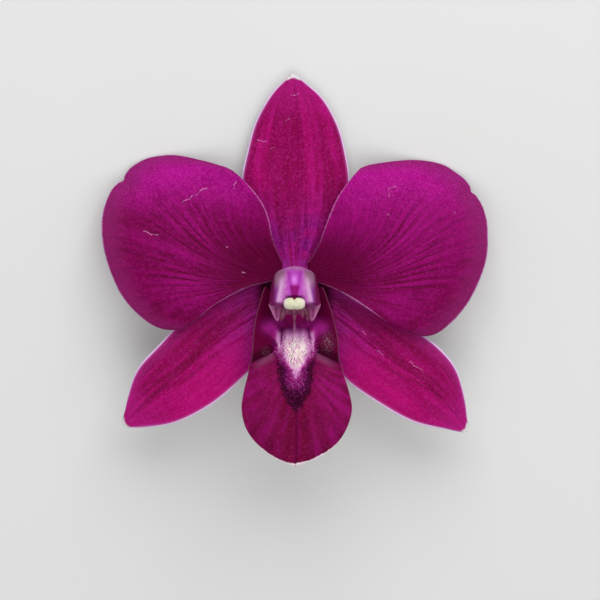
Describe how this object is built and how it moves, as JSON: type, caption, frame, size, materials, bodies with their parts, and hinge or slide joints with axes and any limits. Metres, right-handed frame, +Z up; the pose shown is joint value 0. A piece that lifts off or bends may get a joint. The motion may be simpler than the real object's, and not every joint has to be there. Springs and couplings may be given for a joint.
{
  "type": "dendrobium orchid bloom",
  "caption": "Picked dendrobium orchid bloom with magenta sepals and petals, a lobed lip with a pale crest, column, spur and cut pedicel, lying face up.",
  "frame": {"origin": "middle of the outer box, on the surface that the bloom lies on", "axes": "+Z up, out of the face of the bloom; +Y towards the dorsal sepal; +X to the right of a viewer who faces the bloom with the dorsal sepal at the top"},
  "size_m": [0.0702, 0.0682, 0.0221],
  "materials": {
    "sepal": "matte",
    "petal": "matte",
    "mentum": "matte",
    "lip": "matte",
    "column": "satin",
    "anther": "matte",
    "pedicel": "satin"
  },
  "bodies": {
    "root": {"dorsal_sepal": "sepal", "petal_left": "petal", "petal_right": "petal", "lateral_sepal_left": "sepal", "lateral_sepal_right": "sepal", "mentum": "mentum", "lip": "lip", "column": "column", "anther_cap": "anther", "pedicel": "pedicel"}
  },
  "joints": []
}
